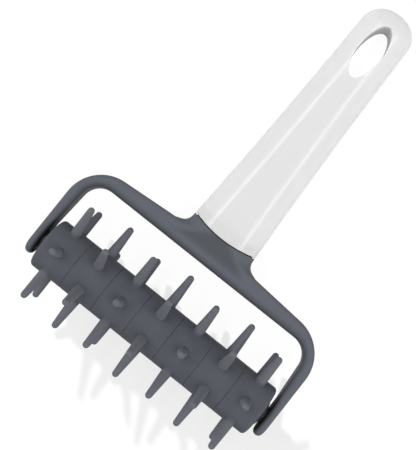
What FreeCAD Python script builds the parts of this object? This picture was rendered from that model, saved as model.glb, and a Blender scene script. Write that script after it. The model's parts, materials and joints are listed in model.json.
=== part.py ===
import FreeCAD, Part
import math
import os
import Sketcher

# Hand-held dough docker: a roller of spiked rings, keyed on a square core that turns on a steel
# axle, carried by a forked yoke whose tang is held in a white handle with a hanging hole.
# Tool frame while modelling: X along the roller, Y from the roller to the handle, Z out of its face.
# The finished tool is laid down as it rests on a table, on its spikes and the handle's end.

SIZES = {
    # Spiked rings
    "ring_width": 17.0,
    "ring_diameter": 24.6,
    "ring_edge_round": 0.35,
    "end_shoulder_round": 1.6,
    "rim_wall": 2.3,
    "hub_wall": 1.7,
    "ring_web": 4.0,
    # Spikes
    "spike_reach": 27.85,
    "spike_tip_diameter": 3.1,
    "spike_base_diameter": 4.9,
    "spike_flare": 0.9,
    "spike_foot_sink": 0.4,
    # Roller core, its retaining cap and the bearings
    "core_square": 9.0,
    "core_corner_chamfer": 0.6,
    "core_fit": 0.12,
    "core_flange_diameter": 11.4,
    "core_flange_thickness": 1.1,
    "cap_spigot_diameter": 8.2,
    "cap_fit": 0.05,
    "bush_wall": 1.15,
    "bush_length": 12.0,
    "bush_fit": 0.02,
    # Axle
    "axle_diameter": 4.0,
    "axle_running_clearance": 0.05,
    "axle_seat_clearance": 0.02,
    "axle_seat_depth": 2.4,
    "axle_end_gap": 0.1,
    "axle_chamfer": 0.3,
    "washer_diameter": 8.4,
    "washer_thickness": 0.7,
    "roller_end_play": 0.3,
    # Yoke
    "arm_thickness": 4.3,
    "arm_lean": 1.9,
    "arm_seat_height": 9.0,
    "arm_overhang": 9.0,
    "yoke_depth": 13.0,
    "crossbar_inner": 34.5,
    "crossbar_peak": 45.35,
    "crossbar_shoulder": 40.3,
    "yoke_outer_corner": 18.5,
    "yoke_inner_corner": 9.0,
    "neck_start": 41.2,
    "neck_start_width": 47.0,
    "neck_start_depth": 12.8,
    "collar_inset": 1.2,
    "collar_length": 2.5,
    "tang_width": 19.0,
    "tang_thickness": 7.0,
    "tang_length": 44.0,
    "tang_fit": 0.1,
    # Handle
    "handle_base": 48.3,
    "handle_corner": 51.0,
    "handle_base_width": 33.0,
    "handle_end_width": 25.0,
    "handle_end": 175.2,
    "handle_thickness": 13.6,
    "handle_side_radius": 2850.0,
    "handle_end_radius": 17.0,
    "joint_gap": 0.5,
    "socket_end_wall": 12.0,
    # Hanging hole
    "hole_to_end": 22.6,
    "hole_length": 27.2,
    "hole_width": 11.4,
    "hole_rim": 0.8,
    # How far cuts run past what they cut
    "overrun": 20.0,
}

COUNTS = {
    "ring_count": 7,
    "spikes_per_ring": 6,
}

# Shares of the sizes that they follow
ROUND_REACH_SHARE = 0.84
CREST_SHARE = 1.0055
RIM_ARC_SHARE = 0.8
END_CORNER_SHARE = 1.03
ARM_ROUND_SHARE = 0.48
NECK_HEIGHT_SHARES = (0.2, 0.41, 0.6)
NECK_WIDTH_SHARES = (0.98, 0.34, 0.1)
NECK_DEPTH_SHARES = (0.85, 0.6, 0.4)
TANG_ROOT_SHARE = 0.5

# Angles in degrees, and how near two numbers are when they count as equal
QUARTER_TURN = 90
HALF_TURN = 180
FULL_TURN = 360
NEAR = 1e-4

doc = FreeCAD.newDocument("dough_docker")
sheet = doc.addObject("Spreadsheet::Sheet", "dims")
for row, (alias, number) in enumerate({**SIZES, **COUNTS}.items(), 1):
    sheet.set("A%d" % row, alias)
    sheet.set("B%d" % row, str(number))
    sheet.setAlias("B%d" % row, alias)
doc.recompute()


class Size:
    """A size that carries both its number and the sheet formula that it comes from."""

    def __init__(self, value, text=None):
        self.value = float(value)
        self.text = text if text is not None else repr(float(value))

    def join(self, other, sign, value):
        return Size(value, "(%s %s %s)" % (self.text, sign, as_size(other).text))

    def __add__(self, other):
        return self.join(other, "+", self.value + as_size(other).value)

    def __sub__(self, other):
        return self.join(other, "-", self.value - as_size(other).value)

    def __mul__(self, other):
        return self.join(other, "*", self.value * as_size(other).value)

    def __truediv__(self, other):
        return self.join(other, "/", self.value / as_size(other).value)

    def __neg__(self):
        return Size(-self.value, "(0 - %s)" % self.text)


def as_size(number):
    return number if isinstance(number, Size) else Size(number)


def root(amount):
    return Size(math.sqrt(amount.value), "sqrt(%s)" % amount.text)


def size(alias):
    """The sheet's cell of that name, as a Size."""
    return Size(sheet.get(alias), "dims.%s" % alias)


ZERO = Size(0.0)
X_AXIS = FreeCAD.Vector(1, 0, 0)
Z_AXIS = FreeCAD.Vector(0, 0, 1)


def bind(obj, path, amount):
    """Sets a property of an object from the sheet."""
    obj.setExpression(path, as_size(amount).text)


def new_body(label):
    body = doc.addObject("PartDesign::Body", label)
    body.Label = label
    return body


def origin_feature(body, role):
    return next(f for f in body.Origin.OriginFeatures if f.Role == role)


def new_sketch(body, name, plane, offset=None):
    """A sketch on one of the body's own origin planes, moved along that plane's normal."""
    sketch = body.newObject("Sketcher::SketchObject", name)
    sketch.AttachmentSupport = [(origin_feature(body, plane), "")]
    sketch.MapMode = "FlatFace"
    if offset is not None:
        bind(sketch, ".AttachmentOffset.Base.z", offset)
    return sketch


def pin_point(sketch, geometry, end, point):
    """Fixes one end of a sketch element at a place given by two sizes."""
    axes = (("DistanceX", point[0], -2), ("DistanceY", point[1], -1))
    for kind, amount, axis in axes:
        amount = as_size(amount)
        if amount.value == 0.0:
            sketch.addConstraint(Sketcher.Constraint("PointOnObject", geometry, end, axis))
            continue
        if amount.value > 0.0:
            ends = (-1, 1, geometry, end)
        else:
            ends = (geometry, end, -1, 1)
            amount = -amount
        index = sketch.addConstraint(Sketcher.Constraint(kind, *ends, amount.value))
        sketch.setExpression("Constraints[%d]" % index, amount.text)


def flat(point):
    return FreeCAD.Vector(as_size(point[0]).value, as_size(point[1]).value, 0)


def arc_between(start, end, radius, left):
    """The short arc from start to end, whose centre lies to the left or right of the way there."""
    chord = end - start
    middle = (start + end) * 0.5
    side = FreeCAD.Vector(-chord.y, chord.x, 0).normalize()
    rise = math.sqrt(max(radius ** 2 - (chord.Length / 2) ** 2, 0.0))
    centre = middle + side * (rise if left else -rise)
    first, last = (start, end) if left else (end, start)
    circle = Part.Circle(centre, FreeCAD.Vector(0, 0, 1), radius)
    angles = [math.atan2(p.y - centre.y, p.x - centre.x) for p in (first, last)]
    if angles[1] < angles[0]:
        angles[1] += 2 * math.pi
    return Part.ArcOfCircle(circle, *angles)


def draw_outline(sketch, points, arcs=None):
    """A closed outline through points; arcs gives the radius and side of the stretch after a point."""
    arcs = arcs or {}
    ends = []
    for number, point in enumerate(points):
        start, end = flat(point), flat(points[(number + 1) % len(points)])
        if number in arcs:
            radius, left = arcs[number]
            index = sketch.addGeometry(arc_between(start, end, radius.value, left))
            constraint = sketch.addConstraint(Sketcher.Constraint("Radius", index, radius.value))
            sketch.setExpression("Constraints[%d]" % constraint, radius.text)
            ends.append((index, 1, 2) if left else (index, 2, 1))
        else:
            ends.append((sketch.addGeometry(Part.LineSegment(start, end)), 1, 2))
    for number, point in enumerate(points):
        here, before = ends[number], ends[number - 1]
        sketch.addConstraint(Sketcher.Constraint("Coincident", before[0], before[2], here[0], here[1]))
        pin_point(sketch, here[0], here[1], point)
    return sketch


def draw_circle(sketch, radius):
    index = sketch.addGeometry(Part.Circle(FreeCAD.Vector(), FreeCAD.Vector(0, 0, 1), radius.value))
    sketch.addConstraint(Sketcher.Constraint("Coincident", index, 3, -1, 1))
    constraint = sketch.addConstraint(Sketcher.Constraint("Radius", index, radius.value))
    sketch.setExpression("Constraints[%d]" % constraint, radius.text)
    return sketch


def draw_square(sketch, half):
    return draw_outline(sketch, [(half, half), (-half, half), (-half, -half), (half, -half)])


def draw_ellipse(sketch, height, half_length, half_width):
    """An ellipse centred on the sketch's vertical axis, long along that axis."""
    centre = FreeCAD.Vector(0, height.value, 0)
    top = centre + FreeCAD.Vector(0, half_length.value, 0)
    side = centre + FreeCAD.Vector(-half_width.value, 0, 0)
    index = sketch.addGeometry(Part.Ellipse(top, side, centre))
    pin_point(sketch, index, 3, (ZERO, height))
    sketch.exposeInternalGeometry(index)
    major, minor = index + 1, index + 2
    sketch.addConstraint(Sketcher.Constraint("Vertical", major))
    for line, half in ((major, half_length), (minor, half_width)):
        length = half * 2
        constraint = sketch.addConstraint(Sketcher.Constraint("Distance", line, 1, line, 2, length.value))
        sketch.setExpression("Constraints[%d]" % constraint, length.text)
    return sketch


class RoundedSide:
    """Section of a rounded side: a small arc at the rim, between two larger ones that run onto the flats.

    The larger arcs crest just above the flats at a distance reach in from the rim, so that they cross the
    flats in a faint edge at the distance flat_in. They join the small arc at a height join_up above the
    middle plane, at a distance join_in from the crest towards the rim.
    """

    def __init__(self, half_depth):
        self.crest = half_depth * CREST_SHARE
        self.reach = half_depth / size("handle_thickness") * size("handle_end_width") * ROUND_REACH_SHARE
        self.small = half_depth * RIM_ARC_SHARE
        inset = self.reach - self.small
        drop = self.crest - self.small
        self.large = (inset * inset + self.crest * self.crest - self.small * self.small) / (drop * 2)
        self.join_in = self.large * inset / (self.large - self.small)
        self.join_up = self.crest - self.large + self.large * (self.large - self.crest) / (
            self.large - self.small)
        flat_up = self.large - self.crest + half_depth
        self.flat_in = self.reach - root(self.large * self.large - flat_up * flat_up)

    def points(self, rim, sign, inset, height):
        """Corners of the side, counter-clockwise, between two ends that lie inset from its rim."""
        end = (rim - inset) * sign
        join = (rim - self.reach + self.join_in) * sign
        return [
            (end, -height * sign), (join, -self.join_up * sign),
            (join, self.join_up * sign), (end, height * sign),
        ]

    def arcs(self, first):
        return {first: (self.large, True), first + 1: (self.small, True), first + 2: (self.large, True)}


def draw_rounded_bar(sketch, half_width, half_depth):
    """A flat bar's section about the sketch's origin, with both sides rounded."""
    side = RoundedSide(half_depth)
    right, left = [side.points(half_width, sign, side.flat_in, half_depth) for sign in (1, -1)]
    return draw_outline(sketch, right + left, {**side.arcs(0), **side.arcs(len(right))})


def pad(body, sketch, length, both_sides=False, reverse=False):
    feature = body.newObject("PartDesign::Pad", sketch.Name + "_pad")
    feature.Profile = sketch
    feature.Midplane = both_sides
    feature.Reversed = reverse
    bind(feature, "Length", length)
    doc.recompute()
    return feature


def pocket(body, sketch, length, both_sides=False, reverse=False):
    """Cuts a sketch out of the body, and makes sure that it did cut."""
    before = body.Shape.Volume
    feature = body.newObject("PartDesign::Pocket", sketch.Name + "_cut")
    feature.Profile = sketch
    feature.Midplane = both_sides
    feature.Reversed = reverse
    bind(feature, "Length", length)
    doc.recompute()
    if body.Shape.Volume >= before:
        raise RuntimeError("%s cuts nothing" % feature.Name)
    return feature


def revolve(body, sketch, axis):
    feature = body.newObject("PartDesign::Revolution", sketch.Name + "_turned")
    feature.Profile = sketch
    feature.ReferenceAxis = (sketch, [axis])
    feature.Angle = FULL_TURN
    doc.recompute()
    return feature


def loft(body, sketches):
    feature = body.newObject("PartDesign::AdditiveLoft", sketches[0].Name + "_loft")
    feature.Profile = sketches[0]
    feature.Sections = sketches[1:]
    doc.recompute()
    return feature


def sweep_cut(body, profile, wanted):
    """Cuts a profile away along the edges of the body that the test picks out."""
    base = body.Tip
    names = ["Edge%d" % n for n, edge in enumerate(base.Shape.Edges, 1) if wanted(edge)]
    before = base.Shape.Volume
    feature = body.newObject("PartDesign::SubtractivePipe", profile.Name + "_swept")
    feature.Profile = profile
    feature.Spine = (base, names)
    feature.Mode = "Binormal"
    feature.Binormal = Z_AXIS
    doc.recompute()
    if body.Shape.Volume >= before:
        raise RuntimeError("%s cuts nothing" % feature.Name)
    return feature


def dress(body, kind, wanted, amount):
    """Rounds or bevels every edge of the body that the test picks out."""
    base = body.Tip
    names = ["Edge%d" % n for n, edge in enumerate(base.Shape.Edges, 1) if wanted(edge)]
    if not names:
        raise RuntimeError("no edge to dress on %s" % body.Label)
    feature = body.newObject("PartDesign::%s" % kind, "%s_%s_%d" % (body.Name, kind, len(body.Group)))
    feature.Base = (base, names)
    bind(feature, "Radius" if kind == "Fillet" else "Size", amount)
    doc.recompute()
    return feature


def close(first, second):
    return abs(first - second) < NEAR


def middle_of(edge):
    return edge.valueAt((edge.FirstParameter + edge.LastParameter) / 2)


def along(edge, axis):
    """True for a straight edge that runs along an axis."""
    return isinstance(edge.Curve, Part.Line) and close(abs(edge.Curve.Direction.dot(axis)), 1)


# Places that several pieces share, worked out from the sheet
ring_radius = size("ring_diameter") / 2
roller_half = size("ring_count") * size("ring_width") / 2
core_end = roller_half + size("core_flange_thickness")
washer_face = core_end + size("roller_end_play")
arm_inner = washer_face + size("washer_thickness")
arm_outer = arm_inner + size("arm_thickness")
axle_radius = size("axle_diameter") / 2
bush_outer = axle_radius + size("axle_running_clearance") + size("bush_wall")
core_bore = bush_outer + size("bush_fit")
overrun = size("overrun")
collar_end = size("handle_corner") + size("collar_length")
tang_end = size("handle_base") + size("tang_length")
hole_centre = size("handle_end") - size("hole_to_end")


def make_ring(label, shoulder):
    """One moulded ring: rim, web and square hub, with spikes all round it. Its closed face is at -X."""
    body = new_body(label)
    half = size("ring_width") / 2
    rim_inner = ring_radius - size("rim_wall")
    web_face = size("ring_web") - half
    bore_half = size("core_square") / 2 + size("core_fit")
    hub_outer = bore_half * math.sqrt(2) + size("hub_wall") - size("core_corner_chamfer")
    profile = new_sketch(body, label + "_section", "XY_Plane")
    draw_outline(profile, [
        (-half, ZERO), (-half, ring_radius), (half, ring_radius), (half, rim_inner),
        (web_face, rim_inner), (web_face, hub_outer), (half, hub_outer), (half, ZERO),
    ])
    revolve(body, profile, "H_Axis")

    def outer_rim(side):
        def wanted(edge):
            curve = edge.Curve
            return isinstance(curve, Part.Circle) and close(curve.Radius, ring_radius.value) and close(
                curve.Center.x, side * half.value)
        return wanted

    dress(body, "Fillet", outer_rim(-1), shoulder)
    dress(body, "Fillet", outer_rim(1), size("ring_edge_round"))
    bore = new_sketch(body, label + "_bore", "YZ_Plane")
    pocket(body, draw_square(bore, bore_half), size("ring_width") + overrun, both_sides=True)

    spike_root = ring_radius - size("rim_wall") / 2
    foot = ring_radius - size("spike_foot_sink")
    base = size("spike_base_diameter") / 2
    tip = size("spike_tip_diameter") / 2
    flare = size("spike_flare")
    spike = new_sketch(body, label + "_spike", "XY_Plane")
    draw_outline(
        spike,
        [(ZERO, spike_root), (base + flare, spike_root), (base + flare, foot), (base, foot + flare),
         (tip, size("spike_reach") - tip), (ZERO, size("spike_reach"))],
        {2: (flare, False), 4: (tip, True)},
    )
    turned = revolve(body, spike, "V_Axis")
    pattern = body.newObject("PartDesign::PolarPattern", label + "_spikes")
    pattern.Originals = [turned]
    pattern.Axis = (origin_feature(body, "X_Axis"), [""])
    pattern.Angle = FULL_TURN
    bind(pattern, "Occurrences", size("spikes_per_ring"))
    body.Tip = pattern
    doc.recompute()
    return body


def make_core():
    """Square bar that keys the rings, with a flange at its left end and a spigot at its right end."""
    body = new_body("roller_core")
    bar = new_sketch(body, "core_bar", "YZ_Plane")
    pad(body, draw_square(bar, size("core_square") / 2), roller_half * 2, both_sides=True)
    dress(body, "Chamfer", lambda edge: along(edge, X_AXIS), size("core_corner_chamfer"))
    flange = new_sketch(body, "core_flange", "YZ_Plane", -core_end)
    pad(body, draw_circle(flange, size("core_flange_diameter") / 2), size("core_flange_thickness"))
    spigot = new_sketch(body, "core_spigot", "YZ_Plane", roller_half)
    pad(body, draw_circle(spigot, size("cap_spigot_diameter") / 2), size("core_flange_thickness"))
    bore = new_sketch(body, "core_bore", "YZ_Plane")
    pocket(body, draw_circle(bore, core_bore), core_end * 2 + overrun, both_sides=True)
    return body


def make_disc(label, start, thickness, outer, inner):
    """A flat round disc with a hole, square to the roller's axis."""
    body = new_body(label)
    rim = new_sketch(body, label + "_rim", "YZ_Plane", start)
    pad(body, draw_circle(rim, outer), thickness)
    hole = new_sketch(body, label + "_hole", "YZ_Plane", start)
    pocket(body, draw_circle(hole, inner), thickness, reverse=True)
    return body


def make_axle():
    """Steel rod whose ends are seated in the yoke's arms."""
    body = new_body("axle_rod")
    length = (arm_inner + size("axle_seat_depth") - size("axle_end_gap")) * 2
    rod = new_sketch(body, "axle_circle", "YZ_Plane")
    pad(body, draw_circle(rod, axle_radius), length, both_sides=True)
    dress(body, "Chamfer", lambda edge: isinstance(edge.Curve, Part.Circle), size("axle_chamfer"))
    return body


def draw_collar(sketch, fit):
    """Section of the neck's collar, inset from the handle's own section."""
    inset = size("collar_inset") - fit
    half_width, half_depth = size("handle_base_width") / 2, size("handle_thickness") / 2
    return draw_rounded_bar(sketch, half_width - inset, half_depth - inset)


def draw_tang(sketch, fit):
    wide, thick = size("tang_width") / 2 + fit, size("tang_thickness") / 2 + fit
    return draw_outline(sketch, [(wide, thick), (-wide, thick), (-wide, -thick), (wide, -thick)])


def draw_joint(sketch, gap, away):
    """Region on one side of the curved joint: away is 1 for the handle's side and -1 for the neck's."""
    corner_half = size("handle_base_width") / 2
    sag = size("handle_corner") - size("handle_base")
    radius = (corner_half * corner_half + sag * sag) / (sag * 2) + gap
    half = corner_half + size("handle_thickness") / 2
    height = size("handle_base") - gap + radius - root(radius * radius - half * half)
    far = height + overrun * away
    corners = [(-half, height), (half, height), (half, far), (-half, far)]
    return draw_outline(sketch, corners, {0: (radius, True)})


def draw_yoke_side(sketch):
    """Side outline of the yoke: a bar of even depth whose end is rounded below the axle."""
    half = size("yoke_depth") / 2
    end = size("arm_overhang")
    low, top = half - end, size("crossbar_peak")
    return draw_outline(
        sketch,
        [(low, half), (-end, ZERO), (low, -half), (top, -half), (top, half)],
        {0: (half, True), 1: (half, True)},
    )


def yoke_edges(shape):
    """Picks the edges between the yoke's broad faces, its rounded ends included, and its outline."""
    def is_broad(face):
        if isinstance(face.Surface, Part.Cylinder):
            return close(abs(face.Surface.Axis.x), 1)
        middle = [sum(face.ParameterRange[i:i + 2]) / 2 for i in (0, 2)]
        return close(abs(face.normalAt(*middle).z), 1)

    def wanted(edge):
        faces = shape.ancestorsOfType(edge, Part.Face)
        return len([face for face in faces if is_broad(face)]) == 1
    return wanted


def make_yoke():
    """Forked yoke: arms with seats for the axle, a crossbar, and a flared neck with collar and tang."""
    body = new_body("yoke")
    side = draw_yoke_side(new_sketch(body, "yoke_side", "YZ_Plane"))
    pad(body, side, arm_outer * 2, both_sides=True)

    depth = size("yoke_depth") + overrun
    lean_top = arm_inner - size("arm_lean")
    below = -(size("arm_overhang") + overrun)
    seat, inner = size("arm_seat_height"), size("crossbar_inner")
    opening = new_sketch(body, "fork_opening", "XY_Plane")
    draw_outline(opening, [
        (arm_inner, below), (arm_inner, seat), (lean_top, inner),
        (-lean_top, inner), (-arm_inner, seat), (-arm_inner, below),
    ])
    pocket(body, opening, depth, both_sides=True)

    shoulder, peak = size("crossbar_shoulder"), size("crossbar_peak")
    fall = (peak - shoulder) * overrun / arm_outer
    reach = arm_outer + overrun
    roof = new_sketch(body, "crossbar_roof", "XY_Plane")
    draw_outline(roof, [
        (ZERO, peak), (reach, shoulder - fall), (reach, peak + overrun),
        (-reach, peak + overrun), (-reach, shoulder - fall),
    ])
    pocket(body, roof, depth, both_sides=True)

    def upright(place_x, place_y):
        def wanted(edge):
            point = middle_of(edge)
            at_place = close(abs(point.x), place_x.value) and close(point.y, place_y.value)
            return at_place and close(point.z, 0)
        return wanted

    dress(body, "Fillet", upright(arm_outer, shoulder), size("yoke_outer_corner"))
    dress(body, "Fillet", upright(lean_top, inner), size("yoke_inner_corner"))
    dress(body, "Fillet", yoke_edges(body.Tip.Shape), size("arm_thickness") * ARM_ROUND_SHARE)

    # The neck rises out of the crossbar's faces and narrows to the handle's section
    end_width, end_depth = size("handle_base_width"), size("handle_thickness")
    flare = size("neck_start_width") - end_width
    waist = end_depth - size("neck_start_depth")
    rise = size("handle_corner") - size("neck_start")
    stations = [(ZERO, flare, waist)]
    for high, wide, deep in zip(NECK_HEIGHT_SHARES, NECK_WIDTH_SHARES, NECK_DEPTH_SHARES):
        stations.append((rise * high, flare * wide, waist * deep))
    stations.append((rise, ZERO, ZERO))
    sections = []
    for number, (height, wider, thinner) in enumerate(stations):
        level = -(size("neck_start") + height)
        section = new_sketch(body, "neck_section_%d" % number, "XZ_Plane", level)
        draw_rounded_bar(section, (end_width + wider) / 2, (end_depth - thinner) / 2)
        sections.append(section)
    loft(body, sections)

    joint = draw_joint(new_sketch(body, "neck_joint", "XY_Plane"), size("joint_gap"), 1)
    pocket(body, joint, depth, both_sides=True)

    collar_root = size("handle_base") - size("collar_length")
    collar = draw_collar(new_sketch(body, "collar", "XZ_Plane", -collar_root), ZERO)
    pad(body, collar, collar_end - collar_root, reverse=True)
    tang_root = inner + (peak - inner) * TANG_ROOT_SHARE
    tang = draw_tang(new_sketch(body, "tang", "XZ_Plane", -tang_root), ZERO)
    pad(body, tang, tang_end - tang_root, reverse=True)

    seats = new_sketch(body, "axle_seats", "YZ_Plane")
    draw_circle(seats, axle_radius + size("axle_seat_clearance"))
    pocket(body, seats, (arm_inner + size("axle_seat_depth")) * 2, both_sides=True)
    return body


def make_handle():
    """Tapered handle with rounded sides, sockets for collar and tang, and an oval hanging hole."""
    body = new_body("handle")
    base, end = size("handle_base_width") / 2, size("handle_end_width") / 2
    corner, tip = size("handle_corner"), size("handle_end")
    thickness, crown = size("handle_thickness"), size("handle_end_radius")
    side_end = tip - crown + root(crown * crown - end * end)
    # The sides start below the joint, which then cuts the handle's base to its curve
    spare = overrun / 2
    low = corner - spare
    bow = size("handle_side_radius")
    low_half = base + (base - end) * spare / (side_end - corner) + spare * (side_end - low) / (bow * 2)
    outline = new_sketch(body, "handle_outline", "XY_Plane")
    draw_outline(
        outline,
        [(-low_half, low), (low_half, low), (end, side_end), (-end, side_end)],
        {1: (bow, False), 2: (crown, True), 3: (bow, False)},
    )
    pad(body, outline, thickness, both_sides=True)

    def end_corner(edge):
        return along(edge, Z_AXIS) and close(middle_of(edge).y, side_end.value)

    rounding = RoundedSide(thickness / 2)
    dress(body, "Fillet", end_corner, rounding.reach * END_CORNER_SHARE)

    half_length, half_width = size("hole_length") / 2, size("hole_width") / 2
    hole = new_sketch(body, "hanging_hole", "XY_Plane")
    draw_ellipse(hole, hole_centre, half_length, half_width)
    pocket(body, hole, thickness + overrun, both_sides=True)

    def hole_edge(edge):
        point = middle_of(edge)
        offset = point.y - hole_centre.value
        around = math.hypot(point.x / half_width.value, offset / half_length.value)
        return close(around, 1) and close(abs(point.z), thickness.value / 2)

    dress(body, "Fillet", hole_edge, size("hole_rim"))

    waste = new_sketch(body, "side_rounding", "XZ_Plane", -low)
    left = rounding.points(low_half, -1, rounding.reach, rounding.crest)
    flat_end, out, up = low_half - rounding.reach, low_half + overrun, thickness / 2 + overrun
    draw_outline(
        waste,
        left + [(-flat_end, -up), (-out, -up), (-out, up), (-flat_end, up)],
        rounding.arcs(0),
    )

    def upper_rim(edge):
        point = middle_of(edge)
        offset = point.y - hole_centre.value
        clear_of_hole = math.hypot(point.x, offset) > (half_length + size("hole_rim") * 2).value
        on_face = close(point.z, thickness.value / 2)
        return on_face and clear_of_hole and not close(point.y, low.value)

    sweep_cut(body, waste, upper_rim)
    joint = draw_joint(new_sketch(body, "handle_joint", "XY_Plane"), ZERO, -1)
    pocket(body, joint, thickness + overrun, both_sides=True)

    mouth = draw_collar(new_sketch(body, "socket_mouth", "XZ_Plane"), size("tang_fit"))
    pocket(body, mouth, collar_end + size("joint_gap"))
    socket = draw_tang(new_sketch(body, "socket", "XZ_Plane"), size("tang_fit"))
    pocket(body, socket, hole_centre - half_length - size("socket_end_wall"))
    return body


def rest_tilt():
    """Angle by which the handle slopes down when the tool lies on its spikes and its handle's end."""
    tip = size("spike_tip_diameter") / 2
    side = RoundedSide(size("handle_thickness") / 2)
    rise = (size("spike_reach") - tip - side.crest + side.large).value
    run = (size("handle_end") - side.reach).value
    return math.acos((side.large - tip).value / math.hypot(rise, run)) - math.atan2(run, rise)


pieces = {}
for piece in (make_handle(), make_yoke(), make_axle(), make_core()):
    pieces[piece.Label] = (piece, FreeCAD.Placement())

cap = make_disc("retaining_cap", roller_half, size("core_flange_thickness"),
                size("core_flange_diameter") / 2, size("cap_spigot_diameter") / 2 + size("cap_fit"))
pieces[cap.Label] = (cap, FreeCAD.Placement())

for name, bush_start, washer_start in (
    ("left", -core_end, -arm_inner),
    ("right", core_end - size("bush_length"), washer_face),
):
    bush = make_disc("bush_" + name, bush_start, size("bush_length"), bush_outer,
                     axle_radius + size("axle_running_clearance"))
    washer = make_disc("axle_washer_" + name, washer_start, size("washer_thickness"),
                       size("washer_diameter") / 2, axle_radius + size("axle_seat_clearance"))
    for piece in (bush, washer):
        pieces[piece.Label] = (piece, FreeCAD.Placement())

# Rings are turned a quarter turn by turns, and those right of the middle are turned end for end
ring_count = int(sheet.get("ring_count"))
for number in range(1, ring_count + 1):
    at_end = number in (1, ring_count)
    shoulder = size("end_shoulder_round" if at_end else "ring_edge_round")
    ring = make_ring("spiked_ring_%d" % number, shoulder)
    place = FreeCAD.Vector((number - (ring_count + 1) / 2) * sheet.get("ring_width"), 0, 0)
    turn = FreeCAD.Rotation(X_AXIS, QUARTER_TURN * (number % 2))
    flip = FreeCAD.Rotation(Z_AXIS, HALF_TURN if number > (ring_count + 1) / 2 else 0)
    pieces[ring.Label] = (ring, FreeCAD.Placement(place, flip * turn))

# Lay the tool down on the table, with the table at zero height and the tool centred over it
lie = FreeCAD.Placement(FreeCAD.Vector(), FreeCAD.Rotation(X_AXIS, -math.degrees(rest_tilt())))
for piece, local in pieces.values():
    piece.Placement = lie * local
doc.recompute()
box = Part.makeCompound([piece.Shape for piece, local in pieces.values()]).optimalBoundingBox(True, False)
centre = FreeCAD.Vector(-box.Center.x, -box.Center.y, -box.ZMin)
lie = FreeCAD.Placement(centre, lie.Rotation)
for piece, local in pieces.values():
    piece.Placement = lie * local
doc.recompute()

for item in doc.Objects:
    if "Invalid" in item.State or "Error" in item.State:
        raise RuntimeError("%s failed: %s" % (item.Name, item.State))
for label, (piece, local) in pieces.items():
    shape = piece.Shape
    if shape.isNull() or not shape.isValid() or len(shape.Solids) != 1:
        raise RuntimeError("%s is not one valid solid" % label)

os.makedirs("parts", exist_ok=True)
for label, (piece, local) in pieces.items():
    piece.Shape.exportStep("parts/%s.step" % label)
    print("%-20s %9.1f mm3" % (label, piece.Shape.Volume))
print("rest tilt %.3f degrees" % math.degrees(rest_tilt()))
print("roller axis at", lie.Base)
print("hanging hole at", lie.multVec(FreeCAD.Vector(0, hole_centre.value, 0)))
print("overall", box.XLength, box.YLength, box.ZLength)
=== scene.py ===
import bpy
import json
import math
from mathutils import Matrix, Vector

# Hand-held dough docker, lying on a white table: white gloss handle, grey yoke and spiked roller.
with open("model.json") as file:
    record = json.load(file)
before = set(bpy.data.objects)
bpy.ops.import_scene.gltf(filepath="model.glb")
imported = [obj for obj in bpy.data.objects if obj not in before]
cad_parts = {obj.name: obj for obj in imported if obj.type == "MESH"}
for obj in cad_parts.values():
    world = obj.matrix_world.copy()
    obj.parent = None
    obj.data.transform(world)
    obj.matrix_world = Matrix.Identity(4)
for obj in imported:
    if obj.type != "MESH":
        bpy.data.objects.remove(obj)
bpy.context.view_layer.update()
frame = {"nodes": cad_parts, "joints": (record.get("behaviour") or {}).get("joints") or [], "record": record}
nodes = frame["nodes"]
record = frame["record"]
scene = bpy.context.scene

MM = 0.001

# The tool's own axes: across runs along the roller, along leads to the handle's end, and face
# points out of the broad side
hang_hole = record["mounts"][0]
axle = Vector(frame["joints"][0]["pos_m"])
face = Vector(hang_hole["axis"]).normalized()
across = Vector((1, 0, 0))
along = face.cross(across)
tool = Matrix((across, along, face)).transposed().to_4x4()
tool.translation = axle

# Colours, linear
WHITE = (0.742, 0.742, 0.742)
GREY = (0.124, 0.1325, 0.1545)
# Painted shade on the flat of the neck
NECK_SHADE_GREY = (0.088, 0.0945, 0.107)
# Painted shade on the fork's inner side
FORK_SHADE_GREY = (0.068, 0.0725, 0.0845)
# Painted shade: the grey that the yoke darkens to in gaps
GAP_SHADE_GREY = (0.024, 0.024, 0.028)
DRUM_GREY = (0.1035, 0.109, 0.1285)
# Painted light: the spikes' grey is paler than the drum's, as if more light falls on them
SPIKE_LIT_GREY = (0.146, 0.153, 0.175)
STEEL = (0.56, 0.57, 0.58)
# Near black: the dark bearing's own colour, and the painted shade in the handle's gaps
DARK = (0.012, 0.012, 0.014)

# Where on a noise a colour is darkest and lightest
SHADE_STOPS = (0.3, 0.7)

# Painted shade darkens narrow gaps, and on the yoke the arms beside the roller: how far around a point to
# look, and how open a surface is where that painted shade ends
GAP_SAMPLES = 8
GAP_SHUT = 0.45
HANDLE_GAP = (1.0 * MM, 0.95)
YOKE_GAP = (10.0 * MM, 0.85)

# The drum's grey gives way to the spikes' paler grey, which is painted light, between these distances from
# the axle
DRUM_RADIUS = 12.5 * MM
SPIKE_START = 14.2 * MM

# The yoke's inner side is painted darker all round the fork, as shade. It goes by the distance, up to a
# span, from a block in the fork's opening that reaches so far across and along
FORK_BLOCK = (50.7 * MM, 25.4 * MM)
FORK_INNER = (9.1 * MM, 12.9 * MM)
FORK_SPAN = 50.0 * MM

# The flat of its neck is painted darker, as shade, about a middle before the joint and fading out
# along and across the tool; from its start on it narrows towards the joint
FLAT_MIDDLE = 46.0 * MM
FLAT_ALONG = (4.5 * MM, 8.5 * MM)
FLAT_ACROSS = (12.0 * MM, 19.0 * MM)
FLAT_START = 41.0 * MM
FLAT_TAPER = 1.6

# The hanging hole's wall is rough from the mould, up to a little way round its rim
HOLE_HALF = (5.7 * MM, 13.6 * MM)
HOLE_RIM = (1.02, 1.12)

# Camera, in the tool's axes and millimetres
CAMERA_PLACE = (13.5, 33.0, 435.4)
CAMERA_AIM = (-8.8, 49.6, 0.0)
CAMERA_NEAR = 10 * MM
HANDLE_LEAN = 38.5
LENS = 79.4
SENSOR = 36.0

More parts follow.
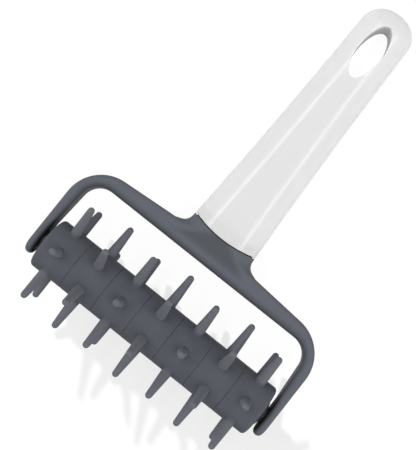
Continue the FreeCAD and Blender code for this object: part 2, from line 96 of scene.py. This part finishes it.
# Studio: a bright vault from side to side over the tool, dark beyond the handle and before the
# roller, with brighter side walls. Its middle leans towards the roller. The vault's levels go by
# the distance from there along the tool, and the walls' by the distance across
VAULT_LEAN = 0.13
VAULT = ((0.0, 0.665), (0.52, 0.665), (0.93, 0.04), (1.0, 0.02))
SIDE_START = 0.62
SIDE_LEVEL = 2.05
STRIP_ASIDE = 0.24
STRIP_AHEAD = 0.15
STRIP_UP = 0.62
STRIP_WIDTH = 0.11
STRIP_LENGTH = 0.7
STRIP_RADIANCE = 3.4

# Floor: a grey that bounces light; what shows is a share of grey with a glow on top, which is white
# where no shadow falls
FLOOR_HALF = 3.0
FLOOR_BOUNCE = 0.13
FLOOR_SHARE = 0.13
FLOOR_GLOW = 0.748
SHOWN_WHITE = 1.0

# A lamp for the floor alone: the roller throws its shadow ahead of itself and to the right
SHADOW_FROM = (-0.6, 0.45, 0.6)
SHADOW_LEVEL = 1.3
SHADOW_BLUR = 3.0

# A low, soft lamp for the handle alone, from beyond its far end, with no highlight
END_FROM = (0.0, 0.99, 0.14)
END_LEVEL = 0.02
END_BLUR = 20.0


def node_math(tree, operation, *values):
    """A sum in a node tree, on outputs or fixed numbers."""
    node = tree.nodes.new("ShaderNodeMath")
    node.operation = operation
    for value, socket in zip(values, node.inputs):
        if isinstance(value, (int, float)):
            socket.default_value = value
        else:
            tree.links.new(value, socket)
    return node.outputs["Value"]


class Shader:
    """A material under construction: its nodes, and the few links that every surface here needs."""

    def __init__(self, name):
        self.material = bpy.data.materials.new(name)
        self.material.use_nodes = True
        self.tree = self.material.node_tree
        self.surface = self.tree.nodes["Principled BSDF"]
        self.place = self.add("ShaderNodeTexCoord").outputs["Object"]

    def add(self, kind, **settings):
        node = self.tree.nodes.new(kind)
        for name, value in settings.items():
            setattr(node, name, value)
        return node

    def link(self, output, target):
        self.tree.links.new(output, target)

    def feed(self, name, output):
        """Joins an output to one of the surface's own inputs."""
        self.link(output, self.surface.inputs[name])

    def set(self, **sockets):
        for name, value in sockets.items():
            self.surface.inputs[name.replace("_", " ")].default_value = value

    def noise(self, scale, detail=2.0, stretch=None):
        """Noise of so many features per metre, drawn out along axes that stretch makes small."""
        node = self.add("ShaderNodeTexNoise")
        node.inputs["Scale"].default_value = scale
        node.inputs["Detail"].default_value = detail
        place = self.place
        if stretch:
            mapping = self.add("ShaderNodeMapping")
            mapping.inputs["Scale"].default_value = stretch
            self.link(place, mapping.inputs["Vector"])
            place = mapping.outputs["Vector"]
        self.link(place, node.inputs["Vector"])
        return node.outputs["Fac"]

    def remap(self, value, low, high, start=0.0, stop=1.0, kind="LINEAR"):
        """A value between start and stop, turned into one between low and high."""
        node = self.add("ShaderNodeMapRange", interpolation_type=kind)
        limits = {"From Min": start, "From Max": stop, "To Min": low, "To Max": high}
        for name, number in limits.items():
            node.inputs[name].default_value = number
        self.link(value, node.inputs["Value"])
        return node.outputs["Result"]

    def rise(self, value, start, stop):
        """0 up to start, rising smoothly to 1 at stop."""
        return self.remap(value, 0.0, 1.0, start, stop, "SMOOTHSTEP")

    def fade(self, value, start, stop):
        """1 up to start, falling smoothly to 0 at stop."""
        return self.remap(value, 1.0, 0.0, start, stop, "SMOOTHSTEP")

    def vector(self, operation, first, second=None):
        """A sum on vectors; second is a fixed vector."""
        node = self.add("ShaderNodeVectorMath", operation=operation)
        self.link(first, node.inputs[0])
        if second is not None:
            node.inputs[1].default_value = second
        return node.outputs["Value" if operation in ("DOT_PRODUCT", "LENGTH") else "Vector"]

    def offset(self, point):
        """A surface point as seen from a fixed point."""
        return self.vector("SUBTRACT", self.place, point)

    def math(self, operation, *values):
        return node_math(self.tree, operation, *values)

    def squares(self, sides):
        """The sum of two squares."""
        return self.math("ADD", *[self.math("MULTIPLY", side, side) for side in sides])

    def shade(self, colour, factor, spread):
        """A colour that gets a little darker and lighter with the factor."""
        ramp = self.add("ShaderNodeValToRGB")
        for element, stop, sign in zip(ramp.color_ramp.elements, SHADE_STOPS, (-1, 1)):
            element.color = [channel * (1 + sign * spread) for channel in colour] + [1]
            element.position = stop
        self.link(factor, ramp.inputs["Fac"])
        return ramp.outputs["Color"]

    def mix(self, first, second, factor):
        """Two colours, mixed by the factor."""
        node = self.add("ShaderNodeMix", data_type="RGBA")
        self.link(factor, node.inputs["Factor"])
        self.link(first, node.inputs["A"])
        self.link(second, node.inputs["B"])
        return node.outputs["Result"]

    def bump(self, height, depth, strength, below=None):
        """Relief of a depth in metres, on top of another one if there is one."""
        node = self.add("ShaderNodeBump")
        node.inputs["Distance"].default_value = depth
        node.inputs["Strength"].default_value = strength
        self.link(height, node.inputs["Height"])
        if below is not None:
            self.link(below, node.inputs["Normal"])
        self.feed("Normal", node.outputs["Normal"])
        return node.outputs["Normal"]


def away_from(shader, axis, start=0.0):
    """Distance of a surface point from the plane across an axis, start away from the axle."""
    offset = shader.offset(axle + axis * start)
    return shader.math("ABSOLUTE", shader.vector("DOT_PRODUCT", offset, axis))


def parting_line(shader, width):
    """A thin ridge where the two halves of the mould meet, in the tool's middle plane."""
    return shader.fade(away_from(shader, face), 0.0, width)


def neck_flat_shade(shader):
    """Painted shade on the flat of the neck: 1 there, falling to 0 around it."""
    long = shader.fade(away_from(shader, along, FLAT_MIDDLE), *FLAT_ALONG)
    offset = shader.offset(axle + along * FLAT_START)
    narrowing = shader.vector("DOT_PRODUCT", offset, along * FLAT_TAPER)
    aside = shader.math("ADD", away_from(shader, across), narrowing)
    return shader.math("MULTIPLY", long, shader.fade(aside, *FLAT_ACROSS))


def out_of_fork_shade(shader):
    """0 where shade is painted on the inner side of the fork's arms and crossbar, rising to 1 on their outer
    side.
    """
    ahead = shader.vector("DOT_PRODUCT", shader.offset(axle), along)
    beyond = [
        shader.remap(place, 0.0, FORK_SPAN, start, start + FORK_SPAN)
        for place, start in zip((away_from(shader, across), ahead), FORK_BLOCK)
    ]
    return shader.rise(shader.math("SQRT", shader.squares(beyond)), *FORK_INNER)


def in_the_open(shader, reach, full):
    """1 on surfaces that are as open as full, or more so, falling to 0 in narrow gaps, where shade is
    painted.
    """
    hollow = shader.add("ShaderNodeAmbientOcclusion", samples=GAP_SAMPLES)
    hollow.inputs["Distance"].default_value = reach
    return shader.remap(hollow.outputs["AO"], 0.0, 1.0, GAP_SHUT, full)


def hole_wall(shader):
    """1 on the wall of the hanging hole, falling to 0 round its rim."""
    offset = shader.offset(hang_hole["pos_m"])
    sides = [
        shader.vector("DOT_PRODUCT", offset, axis / half)
        for axis, half in zip((across, along), HOLE_HALF)
    ]
    return shader.remap(shader.squares(sides), 1.0, 0.0, *HOLE_RIM)


def white_gloss():
    shader = Shader("white_gloss_plastic")
    open_colour = shader.shade(WHITE, shader.noise(scale=35.0), spread=0.006)
    # Painted shade: the handle darkens to near black in the gap at its joint with the yoke
    gap_shade = shader.shade(DARK, shader.noise(scale=400.0), spread=0.2)
    shader.feed("Base Color", shader.mix(gap_shade, open_colour, in_the_open(shader, *HANDLE_GAP)))
    gloss = shader.remap(shader.noise(scale=90.0, detail=3.0), low=0.12, high=0.2)
    shader.feed("Roughness", shader.math("MAXIMUM", gloss, hole_wall(shader)))
    shader.set(IOR=1.52, Subsurface_Weight=0.5, Subsurface_Scale=4 * MM)
    shader.set(Subsurface_Radius=(1, 1, 1))
    streaks = shader.noise(scale=700.0, stretch=(1.0, 0.03, 1.0))
    drawn = shader.bump(streaks, depth=0.01 * MM, strength=0.4)
    seam = parting_line(shader, width=0.14 * MM)
    shader.bump(seam, depth=0.05 * MM, strength=0.6, below=drawn)
    return shader.material


def grey_satin():
    shader = Shader("grey_satin_plastic")
    mottle = shader.noise(scale=120.0, detail=4.0)
    plain, flat, inner = (
        shader.shade(colour, mottle, spread=0.03) for colour in (GREY, NECK_SHADE_GREY, FORK_SHADE_GREY)
    )
    # Painted shade on the flat of the neck
    outer = shader.mix(plain, flat, neck_flat_shade(shader))
    # Painted shade on the inner side of the fork
    open_colour = shader.mix(inner, outer, out_of_fork_shade(shader))
    # Painted shade: the yoke darkens in gaps and on its arms beside the roller
    gap_shade = shader.shade(GAP_SHADE_GREY, shader.noise(scale=400.0), spread=0.2)
    shader.feed("Base Color", shader.mix(gap_shade, open_colour, in_the_open(shader, *YOKE_GAP)))
    satin = shader.noise(scale=900.0, detail=3.0)
    shader.feed("Roughness", shader.remap(satin, low=0.42, high=0.54))
    shader.set(IOR=1.4, Specular_IOR_Level=0.06)
    grain = shader.bump(shader.noise(scale=2600.0), depth=0.02 * MM, strength=0.35)
    seam = parting_line(shader, width=0.16 * MM)
    shader.bump(seam, depth=0.06 * MM, strength=0.6, below=grain)
    return shader.material


def grey_matt():
    """The drum and the spikes have the same fine grain; the spikes are painted paler, as light falling on
    them.
    """
    shader = Shader("grey_matt_plastic")
    mottle = shader.noise(scale=150.0, detail=4.0)
    outward = shader.vector("MULTIPLY", shader.offset(axle), Vector((1, 1, 1)) - across)
    spike = shader.rise(shader.vector("LENGTH", outward), DRUM_RADIUS, SPIKE_START)
    drum_colour = shader.shade(DRUM_GREY, mottle, spread=0.05)
    lit_spike_colour = shader.shade(SPIKE_LIT_GREY, mottle, spread=0.03)
    # Painted light: the spikes paler than the drum
    shader.feed("Base Color", shader.mix(drum_colour, lit_spike_colour, spike))
    matt = shader.noise(scale=1100.0, detail=3.0)
    shader.feed("Roughness", shader.remap(matt, low=0.52, high=0.64))
    shader.set(IOR=1.4, Specular_IOR_Level=0.06)
    shader.bump(shader.noise(scale=2200.0, detail=3.0), depth=0.03 * MM, strength=0.4)
    return shader.material


def ground_steel():
    shader = Shader("ground_steel")
    lines = shader.noise(scale=900.0, detail=4.0, stretch=(0.05, 1.0, 1.0))
    shader.feed("Base Color", shader.shade(STEEL, lines, spread=0.08))
    shader.feed("Roughness", shader.remap(lines, low=0.24, high=0.4))
    shader.set(Metallic=1.0)
    shader.bump(lines, depth=0.01 * MM, strength=0.3)
    return shader.material


def dark_bearing():
    shader = Shader("dark_bearing_plastic")
    mottle = shader.noise(scale=300.0, detail=3.0)
    shader.feed("Base Color", shader.shade(DARK, mottle, spread=0.05))
    shader.feed("Roughness", shader.remap(shader.noise(scale=800.0), low=0.45, high=0.6))
    shader.bump(shader.noise(scale=2000.0), depth=0.02 * MM, strength=0.3)
    return shader.material


def dress_nodes():
    """Every CAD node takes the finish of its slot in the record."""
    finishes = {
        "white_handle": white_gloss(),
        "grey_yoke": grey_satin(),
        "grey_rings": grey_matt(),
        "steel_axle": ground_steel(),
        "dark_bearing": dark_bearing(),
    }
    for part in record["subparts"]:
        mesh = nodes[part["node"]].data
        mesh.materials.clear()
        mesh.materials.append(finishes[part["material_slot"]])


def add_object(name, data):
    thing = bpy.data.objects.new(name, data)
    scene.collection.objects.link(thing)
    return thing


def shown(tree):
    """1 for what the camera, gloss and glass see, and 0 for all other light."""
    path = tree.nodes.new("ShaderNodeLightPath")
    seen = path.outputs["Is Camera Ray"]
    for name in ("Is Glossy Ray", "Is Transmission Ray"):
        seen = node_math(tree, "MAXIMUM", seen, path.outputs[name])
    return seen


def make_floor():
    mesh = bpy.data.meshes.new("floor")
    signs = ((-1, -1), (1, -1), (1, 1), (-1, 1))
    corners = [(x * FLOOR_HALF, y * FLOOR_HALF, 0) for x, y in signs]
    mesh.from_pydata(corners, [], [range(len(corners))])
    floor = add_object("floor", mesh)
    material = bpy.data.materials.new("white_floor")
    material.use_nodes = True
    tree = material.node_tree
    tree.nodes.remove(tree.nodes["Principled BSDF"])

    def diffuse(level):
        node = tree.nodes.new("ShaderNodeBsdfDiffuse")
        node.inputs["Color"].default_value = (level, level, level, 1)
        return node.outputs["BSDF"]

    glow = tree.nodes.new("ShaderNodeEmission")
    glow.inputs["Strength"].default_value = FLOOR_GLOW
    white = tree.nodes.new("ShaderNodeAddShader")
    tree.links.new(diffuse(FLOOR_SHARE), white.inputs[0])
    tree.links.new(glow.outputs["Emission"], white.inputs[1])
    mix = tree.nodes.new("ShaderNodeMixShader")
    tree.links.new(shown(tree), mix.inputs["Fac"])
    tree.links.new(diffuse(FLOOR_BOUNCE), mix.inputs[1])
    tree.links.new(white.outputs["Shader"], mix.inputs[2])
    tree.links.new(mix.outputs["Shader"], tree.nodes["Material Output"].inputs["Surface"])
    mesh.materials.append(material)
    return floor


def gather(name, members):
    collection = bpy.data.collections.new(name)
    for member in members:
        collection.objects.link(member)
    return collection


def make_sun(name, place, level, blur, receivers, blockers=None):
    """A sun for the receivers alone, of a level on flat ground.

    Only the blockers throw its shadow, if they are named, or else everything does.
    """
    data = bpy.data.lights.new(name, "SUN")
    way = Vector(place).normalized()
    data.energy = level * math.pi / way.z
    data.angle = math.radians(blur)
    lamp = add_object(name, data)
    lamp.rotation_mode = "QUATERNION"
    lamp.rotation_quaternion = way.to_track_quat("Z", "Y")
    lamp.light_linking.receiver_collection = gather(name + "_receivers", receivers)
    if blockers:
        lamp.light_linking.blocker_collection = gather(name + "_blockers", blockers)
    return lamp


def make_world():
    """The studio's vault and its side walls, which show as white."""
    world = bpy.data.worlds.new("studio")
    world.use_nodes = True
    scene.world = world
    tree = world.node_tree
    way = tree.nodes.new("ShaderNodeSeparateXYZ")
    place = tree.nodes.new("ShaderNodeTexCoord")
    tree.links.new(place.outputs["Generated"], way.inputs["Vector"])
    ahead = node_math(tree, "ADD", way.outputs["Y"], VAULT_LEAN)
    vault = tree.nodes.new("ShaderNodeValToRGB")
    stops = vault.color_ramp.elements
    while len(stops) < len(VAULT):
        stops.new(0.5)
    for stop, (distance, level) in zip(stops, VAULT):
        stop.position = distance
        stop.color = (level, level, level, 1)
    tree.links.new(node_math(tree, "ABSOLUTE", ahead), vault.inputs["Fac"])
    walls = tree.nodes.new("ShaderNodeMapRange")
    walls.interpolation_type = "SMOOTHSTEP"
    walls.inputs["From Min"].default_value = SIDE_START
    walls.inputs["To Max"].default_value = SIDE_LEVEL
    tree.links.new(node_math(tree, "ABSOLUTE", way.outputs["X"]), walls.inputs["Value"])
    mix = tree.nodes.new("ShaderNodeMix")
    mix.inputs["B"].default_value = SHOWN_WHITE
    tree.links.new(shown(tree), mix.inputs["Factor"])
    total = node_math(tree, "ADD", vault.outputs["Color"], walls.outputs["Result"])
    tree.links.new(total, mix.inputs["A"])
    tree.links.new(mix.outputs["Result"], tree.nodes["Background"].inputs["Color"])


def facing(place, aim):
    """Placement at a point, looking down its own -Z at the aim and upright along the tool.

    Both points, and the placement, are in the tool's axes.
    """
    back = (place - aim).normalized()
    right = Vector((0, 1, 0)).cross(back).normalized()
    turn = Matrix((right, back.cross(right), back)).transposed().to_4x4()
    turn.translation = place
    return turn


def make_strip(name, side):
    """A long narrow softbox over one side of the handle."""
    data = bpy.data.lights.new(name, "AREA")
    data.shape = "RECTANGLE"
    data.size = STRIP_WIDTH
    data.size_y = STRIP_LENGTH
    data.energy = STRIP_RADIANCE * math.pi * STRIP_WIDTH * STRIP_LENGTH
    place = Vector((side * STRIP_ASIDE, STRIP_AHEAD, STRIP_UP))
    lamp = add_object(name, data)
    lamp.matrix_world = tool @ facing(place, Vector((0, STRIP_AHEAD, 0)))


def make_camera():
    data = bpy.data.cameras.new("camera")
    data.sensor_width = SENSOR
    data.lens = LENS
    data.clip_start = CAMERA_NEAR
    camera = add_object("camera", data)
    turn = facing(Vector(CAMERA_PLACE) * MM, Vector(CAMERA_AIM) * MM)
    lean = Matrix.Rotation(math.radians(HANDLE_LEAN), 4, "Z")
    camera.matrix_world = tool @ turn @ lean
    scene.camera = camera


dress_nodes()
roller = [nodes[name] for name in record["behaviour"]["bodies"]["roller"]]
make_sun("shadow_lamp", SHADOW_FROM, SHADOW_LEVEL, SHADOW_BLUR, [make_floor()], roller)
end_lamp = make_sun("end_lamp", END_FROM, END_LEVEL, END_BLUR, [nodes["handle"]])
end_lamp.visible_glossy = False
make_world()
make_strip("strip_left", -1)
make_strip("strip_right", 1)
make_camera()
scene.view_settings.view_transform = "Standard"
